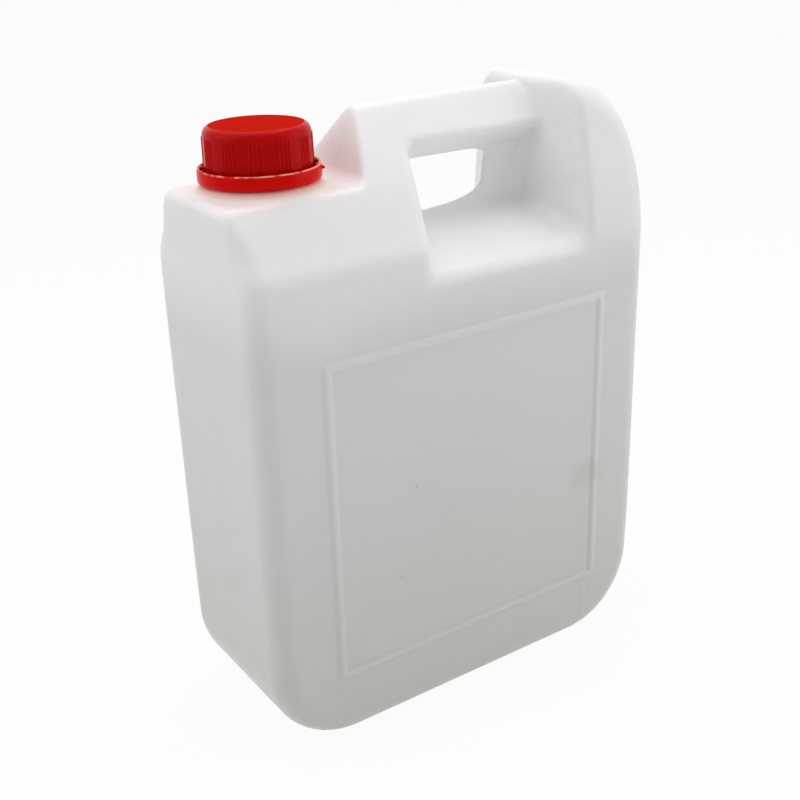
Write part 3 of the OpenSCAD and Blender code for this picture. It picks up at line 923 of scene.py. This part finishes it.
class JERRYCAN_OT_stage(bpy.types.Operator):
    """Sets the pale floor, the soft lights and the camera"""
    bl_idname = "jerrycan.stage"
    bl_label = "Floor, lights and camera"

    def execute(self, context):
        stage = context.scene.jerrycan_stage
        scene = context.scene
        self.floor()
        self.world(scene, stage.ambient)
        self.lamp("left_softbox", (-1.10, 0.25, 0.85), (0, 0, 0.15), 0.9, 1.1, stage.key)
        self.lamp("right_softbox", (0.95, -0.75, 0.55), (0, 0, 0.15), 0.8, 1.0, stage.fill)
        self.lamp("top_softbox", (0.05, 0.15, 1.35), (0, 0, 0.2), 1.2, 1.0, stage.top)
        self.camera(scene)
        scene.view_settings.view_transform = "Standard"
        return {"FINISHED"}

    @staticmethod
    def floor():
        """A wide floor that shows white to the camera and keeps the can's soft shadow."""
        bm = bmesh.new()
        bmesh.ops.create_grid(bm, x_segments=24, y_segments=24, size=6.0)
        for v in bm.verts:
            v.co.z = -0.0002
        mesh = bpy.data.meshes.new("floor")
        bm.to_mesh(mesh)
        bm.free()
        obj = bpy.data.objects.new("floor", mesh)
        bpy.context.scene.collection.objects.link(obj)
        m = Nodes("pale_floor")
        m.shader.inputs["Base Color"].default_value = (0.86, 0.86, 0.86, 1.0)
        m.shader.inputs["Roughness"].default_value = 0.9
        m.shader.inputs["Specular IOR Level"].default_value = 0.0
        white = m.add("Emission", Strength=1.0)
        path = m.add("LightPath")
        seen = m.math("MAXIMUM", path.outputs["Is Camera Ray"], path.outputs["Is Glossy Ray"])
        seen = m.math("MAXIMUM", seen, path.outputs["Is Transmission Ray"])
        blend = m.add("MixShader")
        m.link(m.math("MULTIPLY", seen, 0.94), blend.inputs[0])
        m.link(m.shader.outputs[0], blend.inputs[1])
        m.link(white.outputs[0], blend.inputs[2])
        m.link(blend.outputs[0], m.output.inputs["Surface"])
        mesh.materials.append(m.material)

    @staticmethod
    def world(scene, ambient):
        """A plain white background that lights the scene more weakly than it shows."""
        world = bpy.data.worlds.new("plain_room")
        scene.world = world
        world.use_nodes = True
        tree = world.node_tree
        back = tree.nodes["Background"]
        back.inputs["Color"].default_value = (1.0, 1.0, 1.0, 1.0)
        path = tree.nodes.new("ShaderNodeLightPath")
        first, second = (tree.nodes.new("ShaderNodeMath") for _ in range(2))
        first.operation = second.operation = "MAXIMUM"
        level = tree.nodes.new("ShaderNodeMapRange")
        level.inputs["To Min"].default_value = ambient
        level.inputs["To Max"].default_value = 1.0
        tree.links.new(path.outputs["Is Camera Ray"], first.inputs[0])
        tree.links.new(path.outputs["Is Transmission Ray"], first.inputs[1])
        tree.links.new(first.outputs[0], second.inputs[0])
        tree.links.new(path.outputs["Is Glossy Ray"], second.inputs[1])
        tree.links.new(second.outputs[0], level.inputs["Value"])
        tree.links.new(level.outputs["Result"], back.inputs["Strength"])

    @staticmethod
    def lamp(name, place, aim, wide, tall, power):
        """A rectangular soft light that faces a point of the can."""
        light = bpy.data.lights.new(name, "AREA")
        light.shape, light.size, light.size_y, light.energy = "RECTANGLE", wide, tall, power
        obj = bpy.data.objects.new(name, light)
        obj.location = place
        obj.rotation_mode = "QUATERNION"
        obj.rotation_quaternion = (Vector(aim) - Vector(place)).to_track_quat("-Z", "Y")
        bpy.context.scene.collection.objects.link(obj)

    @staticmethod
    def camera(scene):
        """A camera at the photograph's angle, a little above and to the left."""
        azimuth, elevation, roll = (math.radians(a) for a in (-33.64, 23.02, -1.87))
        back = Vector((math.sin(azimuth) * math.cos(elevation),
                       -math.cos(azimuth) * math.cos(elevation), math.sin(elevation)))
        level = Vector((math.cos(azimuth), math.sin(azimuth), 0.0))
        rise = back.cross(level)
        right = math.cos(roll) * level + math.sin(roll) * rise
        up = -math.sin(roll) * level + math.cos(roll) * rise
        data = bpy.data.cameras.new("camera")
        data.sensor_width, data.lens = 36.0, 52.96
        data.clip_start, data.clip_end = 0.01, 50.0
        obj = bpy.data.objects.new("camera", data)
        turn = Matrix((right, up, back)).transposed().to_4x4()
        obj.matrix_world = Matrix.Translation((-0.31902, -0.46472, 0.38774)) @ turn
        scene.collection.objects.link(obj)
        scene.camera = obj


class JERRYCAN_PT_panel(bpy.types.Panel):
    """Lists the jerrycan's pieces and settings"""
    bl_idname = "JERRYCAN_PT_panel"
    bl_label = "Jerrycan"
    bl_space_type = "VIEW_3D"
    bl_region_type = "UI"
    bl_category = "Jerrycan"

    def draw(self, context):
        layout, scene = self.layout, context.scene
        for operator, group, keys in (
            ("jerrycan.body", scene.jerrycan_body,
             ("wall", "corner", "bead_height", "bead_width", "pocket_edge", "flare", "cell")),
            ("jerrycan.ring", scene.jerrycan_cap, ("bridges",)),
            ("jerrycan.cap", scene.jerrycan_cap, ("rib_groups", "ribs", "rib_height", "chamfer")),
            ("jerrycan.liner", scene.jerrycan_finish, ("liner",)),
            ("jerrycan.stage", scene.jerrycan_stage, ("key", "fill", "top", "ambient")),
        ):
            box = layout.box()
            box.operator(operator)
            for key in keys:
                box.prop(group, key)
        box = layout.box()
        for key in ("body", "body_top_painted_light", "body_low_painted_shade", "body_rough", "body_glow",
                    "cap", "cap_dark", "cap_top_and_painted_sheen", "ring", "cap_rough"):
            box.prop(scene.jerrycan_finish, key)


CLASSES = (
    JerrycanBodySettings, JerrycanCapSettings, JerrycanFinishSettings, JerrycanStageSettings,
    JERRYCAN_OT_body, JERRYCAN_OT_ring, JERRYCAN_OT_cap, JERRYCAN_OT_liner, JERRYCAN_OT_stage,
    JERRYCAN_PT_panel,
)


def register():
    for cls in CLASSES:
        bpy.utils.register_class(cls)
    bpy.types.Scene.jerrycan_body = PointerProperty(type=JerrycanBodySettings)
    bpy.types.Scene.jerrycan_cap = PointerProperty(type=JerrycanCapSettings)
    bpy.types.Scene.jerrycan_finish = PointerProperty(type=JerrycanFinishSettings)
    bpy.types.Scene.jerrycan_stage = PointerProperty(type=JerrycanStageSettings)


def unregister():
    for name in ("jerrycan_body", "jerrycan_cap", "jerrycan_finish", "jerrycan_stage"):
        delattr(bpy.types.Scene, name)
    for cls in reversed(CLASSES):
        bpy.utils.unregister_class(cls)


def main():
    register()
    bpy.ops.jerrycan.stage()
    bpy.ops.jerrycan.body()
    bpy.ops.jerrycan.ring()
    bpy.ops.jerrycan.cap()
    bpy.ops.jerrycan.liner()


if __name__ == "__main__":
    main()
